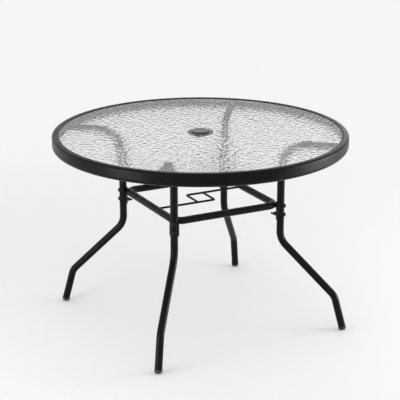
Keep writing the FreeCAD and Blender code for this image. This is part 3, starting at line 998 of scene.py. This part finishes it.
HEAD_RADIUS = 7.25 * MM
HEAD_HEIGHT = 4.4 * MM
HEAD_FLAT = 0.52
HEAD_DROP = 0.42
HEAD_CURVE = 2.2
SOCKET_FLAT = 2.5 * MM
SOCKET_DEPTH = 2.6 * MM
THREAD_PITCH = 1.25 * MM
THREAD_DEPTH = 0.45 * MM
THREAD_LENGTH = 22 * MM
TIP_TAPER = 0.4 * MM
TIP_BREAK = 0.7 * MM


def bolt(place, columns=48):
    """From the socket's floor over the domed head and down the shank to the threaded tip. At the
    share s of the way from its flat to its rim the dome has lost HEAD_DROP s^HEAD_CURVE of its
    height. At the share p of a turn the thread is cut by its depth times 1 - |2 p - 1|."""
    a = angles(columns)[None]
    none = np.zeros((1, columns))
    socket = hexagon(a, SOCKET_FLAT)
    dome = np.linspace(HEAD_FLAT, 1.0, 7)[:, None]
    drop = HEAD_DROP * ((dome - HEAD_FLAT) / (1 - HEAD_FLAT)) ** HEAD_CURVE
    floor_x = HEAD_HEIGHT - SOCKET_DEPTH
    tip_x = place["seat"] - NUT_THICKNESS - place["tip"] - HEAD_SEAT
    thread_x = np.arange(tip_x + THREAD_LENGTH, tip_x, -THREAD_PITCH / 8)[:, None]
    phase = (thread_x / THREAD_PITCH + a / (2 * math.pi)) % 1
    cut = THREAD_DEPTH * (1 - np.abs(2 * phase - 1))
    near_tip = 1 - soft_step(thread_x, tip_x, tip_x + THREAD_PITCH)
    x = [
        [[floor_x], [floor_x], [HEAD_HEIGHT - EDGE_BREAK]],
        HEAD_HEIGHT * (1 - drop),
        [[0.0], [0.0]],
        thread_x,
        [[tip_x], [tip_x]],
    ]
    radius = [
        none, socket, socket,
        none + dome * HEAD_RADIUS,
        none + HEAD_RADIUS, none + BOLT_RADIUS,
        BOLT_RADIUS - cut - TIP_TAPER * near_tip,
        none + (BOLT_RADIUS - TIP_BREAK), none,
    ]
    return along_x(HEAD_SEAT + np.concatenate(x), np.concatenate(radius), place["z"], columns)


fasteners("bolts_upper", "upper_bolts", [bolt(UPPER_BOLT)], False)
fasteners("bolts_lower", "lower_bolts", [bolt(LOWER_BOLT)], False)

# %% [markdown]
# ### Nuts
#
# A nut is a hexagon whose corners are turned off on both faces. Taking the smaller of two radii,
# the hexagon's and a cone's, cuts the corners as a lathe does, and leaves the same curved lines.

# %% Nuts

NUT_FLAT = 6.5 * MM
NUT_CONE = 6.7 * MM
NUT_STEPS = (0, 0.4, 0.9, 1.4, 5.1, 5.6, 6.1, 6.5)
NUT_CHAMFER = 0.8
NUT_GAP = 0.05 * MM


def nut(place, columns=72):
    """Radius: the smaller of the hexagon and the cone that the chamfer of each face lies on."""
    a = angles(columns)[None]
    depth = np.array(NUT_STEPS)[:, None] * MM
    from_face = np.minimum(depth, NUT_THICKNESS - depth)
    side = np.minimum(hexagon(a, NUT_FLAT), NUT_CONE + from_face * NUT_CHAMFER)
    bore = np.full((2, columns), BOLT_RADIUS + NUT_GAP)
    x = np.concatenate([depth, [[NUT_THICKNESS], [0.0]]])
    return along_x(place["seat"] - x, np.concatenate([side, bore]), place["z"], columns)


fasteners("hex_nuts", "nuts", [nut(place) for place in both], True)

# %% [markdown]
# ### Washers
#
# A flat washer would touch a round tube only along one line. These are pressed hollow on one face,
# so that they bear all round, and that face is worked out from the wall that it lies on.

# %% Washers

WASHER_RADII = (4.3, 4.3, 5.3, 6.4, 7.35, 7.5, 7.5, 7.35, 4.5)
WASHER_SHARES = (0.0, 1.0, 1.0, 1.0, 1.0, 0.93, 0.1, 0.0, 0.0)


def washer(place, flat_x, wall_x, columns=48):
    """A ring with one flat face, whose other face follows the round wall that it bears on. Its x is
    flat + s (wall - flat), for a share s that is 0 on the flat side and 1 on the wall's side."""
    a = angles(columns)
    radii = np.array(WASHER_RADII)[:, None] * MM
    y, z = radii * np.cos(a), radii * np.sin(a)
    share = np.array(WASHER_SHARES)[:, None]
    x = flat_x + share * (wall_x(y, z) - flat_x)
    return np.stack([x, y, z + place["z"]], axis=-1)


def on_arm(y, z):
    """X of the upper leg's outer side."""
    return LEG_RADIUS + np.sqrt(ARM_TUBE_RADIUS**2 - y**2)


def on_saddle(y, z):
    """X of the saddle plate's face towards the frame."""
    return SADDLE_X - np.sqrt(SADDLE_RADIUS**2 - y**2)


def on_frame(y, z):
    """X of the inner side of the frame's round corner."""
    reach = FRAME_BEND - np.sqrt(FRAME_TUBE_RADIUS**2 - z**2)
    return CORNER_X - FRAME_BEND + np.sqrt(reach**2 - y**2)


outer_washers = [washer(place, HEAD_SEAT, on_arm) for place in both]
inner_washers = [washer(UPPER_BOLT, UPPER_BOLT["seat"], on_frame),
                 washer(LOWER_BOLT, LOWER_BOLT["seat"], on_saddle)]
fasteners("washers_outer", "head_washers", outer_washers, True)
fasteners("washers_inner", "nut_washers", inner_washers, True)

# %% [markdown]
# ## Floor and backdrop
#
# The photograph was taken on a pale studio floor that runs up into a low round backdrop. Near the
# table the floor takes the table's soft shadow as any dull surface does. Farther off a real
# studio lights the backdrop by itself, so there the finish gives the eye, and the rays that gloss
# and glass send out, a pale tone of its own. Dull surfaces get no light from that tone.

# %% Floor

BACKDROP_RADIUS = 12.0
BACKDROP_BEND = 2.0
BACKDROP_TOP = 3.5
BACKDROP_COLUMNS = 128
FLAT_START = 0.5
FLOOR_DROP = 0.2 * MM
FLOOR_TONES = ((0.86, 0.86, 0.86), (0.88, 0.88, 0.88))
PALE_START = 0.9
PALE_END = 2.8
PALE_TONE = (0.922, 0.922, 0.922, 1.0)


def studio_pale():
    f = finish("studio_pale")
    place = f.place()
    colour = f.blend(f.noise(0.4).ramp(0.35, 0.65), *FLOOR_TONES)
    shader = f.node("BsdfPrincipled", {}, {
        "Base Color": colour, "Roughness": 0.9, "Specular IOR Level": 0.1,
    })
    tone = f.node("Emission", {}, {"Color": PALE_TONE, "Strength": 1.0})
    from_middle = f.node("VectorMath", {"operation": "LENGTH"}, {0: place})["Value"]
    path = f.node("LightPath")
    seen = path["Is Camera Ray"] + path["Is Glossy Ray"] + path["Is Transmission Ray"]
    share = seen * from_middle.ramp(PALE_START, PALE_END)
    return f.done(f.node("MixShader", {}, {0: share, 1: shader, 2: tone}))


def studio_floor():
    """A disc that bends up into a round wall, as rings that follow its outline. In the bend the
    radius is R - b (1 - sin a) and the height b (1 - cos a), for the wall's R and the bend's b."""
    edge = BACKDROP_RADIUS - BACKDROP_BEND
    flat = np.geomspace(FLAT_START, edge, 20)
    a = np.linspace(0, math.pi / 2, 16)[1:]
    bend_radii = BACKDROP_RADIUS - BACKDROP_BEND * (1 - np.sin(a))
    bend_heights = BACKDROP_BEND * (1 - np.cos(a))
    radii = np.concatenate([[0.0], flat, bend_radii, [BACKDROP_RADIUS]])
    heights = np.concatenate([[0.0], 0 * flat, bend_heights, [BACKDROP_TOP]]) - FLOOR_DROP
    grid = turned(np.stack([radii, heights], axis=1), BACKDROP_COLUMNS)
    quads = grid_quads(len(radii), BACKDROP_COLUMNS, False)
    mesh = mesh_of("floor", grid.reshape(-1, 3), quads)
    mesh.polygons.foreach_set("use_smooth", np.ones(len(mesh.polygons), bool))
    made = bpy.data.objects.new("floor", mesh)
    bpy.context.scene.collection.objects.link(made)
    mesh.materials.append(studio_pale())
    print("floor:", len(quads), "faces, up to", BACKDROP_TOP, "m")


studio_floor()

# %% [markdown]
# ## Light
#
# A pale room lights the table from all round, its walls a little less than its ceiling, so that
# the black metal keeps some depth where it mirrors them. A broad lamp hangs above. One lamp at each
# side and one far behind draw the highlights down the tubes and along the rim. Those at the sides
# are low, so that the flat top of the glass doesn't mirror them to someone who looks across it.

# %% World and lamps

WALL_STRENGTH = 0.71
CEILING_STRENGTH = 0.88
CEILING_EDGE = (0.27, 0.38)
WHITE = (1.0, 1.0, 1.0, 1.0)


def studio_world():
    """A little dimmer up to the height where the walls end. The height is the sine of the angle
    above the floor, which is the Z of the direction that a ray looks in."""
    world = bpy.data.worlds.new("studio")
    bpy.context.scene.world = world
    f = Finish(world)
    direction = f.node("TexCoord")["Generated"]
    height = f.node("SeparateXYZ", {}, {0: direction})["Z"]
    strength = height.ramp(*CEILING_EDGE, WALL_STRENGTH, CEILING_STRENGTH)
    sky = f.node("Background", {}, {"Color": WHITE, "Strength": strength})
    f.node("OutputWorld", {}, {"Surface": sky})


def soft_lamp(name, place, aim, size, watts):
    """A rectangular lamp that looks at the aim and that no camera sees. The size of one that stands
    upright is its height and its width."""
    data = bpy.data.lights.new(name, "AREA")
    data.shape = "RECTANGLE"
    data.size, data.size_y = size
    data.energy = watts
    lamp = bpy.data.objects.new(name, data)
    bpy.context.scene.collection.objects.link(lamp)
    away = np.array(place, float) - np.array(aim, float)
    lamp.location = place
    heading = math.atan2(away[1], away[0])
    lamp.rotation_euler = (0.0, math.acos(away[2] / np.linalg.norm(away)), heading)
    lamp.visible_camera = False


def beside_view(degrees, distance, height):
    """A place round the table, with degrees counted to the right from where the camera stands."""
    a = math.radians(degrees) + math.atan2(CAMERA_PLACE[1], CAMERA_PLACE[0])
    return (distance * math.cos(a), distance * math.sin(a), height)


# %% [markdown]
# ## Camera
#
# The camera stands where the photograph was taken: a long lens, a little above eye height, that
# looks down by some 18 degrees.
# Its place was worked out from the ellipse of the rim and the spots where the feet touch the floor.
# The table isn't quite in the middle of the picture, so the camera looks a hair to one side of it.

# %% Camera

CAMERA_PLACE = (-2.1768, -4.1844, 1.971)
CAMERA_DOWN = math.radians(17.854)
CAMERA_ASIDE = 0.00035
CAMERA_LENS = 121.87

camera_data = bpy.data.cameras.new("camera")
camera_data.lens = CAMERA_LENS
camera = bpy.data.objects.new("camera", camera_data)
camera.location = CAMERA_PLACE
heading = math.atan2(CAMERA_PLACE[0], -CAMERA_PLACE[1]) + CAMERA_ASIDE
camera.rotation_euler = (math.pi / 2 - CAMERA_DOWN, 0.0, heading)
bpy.context.scene.collection.objects.link(camera)
bpy.context.scene.camera = camera
bpy.context.scene.view_settings.view_transform = "Standard"
print("camera:", round(float(np.linalg.norm(CAMERA_PLACE)), 3), "m from the middle of the floor")

# %% [markdown]
# ## The lamps in place
#
# A mirror that is turned by some angle turns the view in it by twice as much. A place on the rim
# that faces halfway between the camera and the right therefore shows what stands right beside the
# table, and the photograph has its strongest highlight there. The other lamps are placed in the
# same way. The one above is broad and weak, and only fills the shadows.

# %% Lamps

studio_world()
soft_lamp("lamp_above", (0.0, 0.5, 4.2), (0, 0, 0.4), (4.5, 4.5), 8)
soft_lamp("lamp_right", beside_view(91, 3.0, 0.5), (0, 0, 0.5), (0.96, 1.8), 60)
soft_lamp("lamp_left", beside_view(-53, 2.7, 0.5), (0, 0, 0.5), (0.96, 1.3), 28)
soft_lamp("lamp_behind", beside_view(163, 5.0, 1.2), (0, 0, 0.7), (1.2, 1.0), 10)
print("lamps:", [(lamp.name, lamp.energy) for lamp in bpy.data.lights])
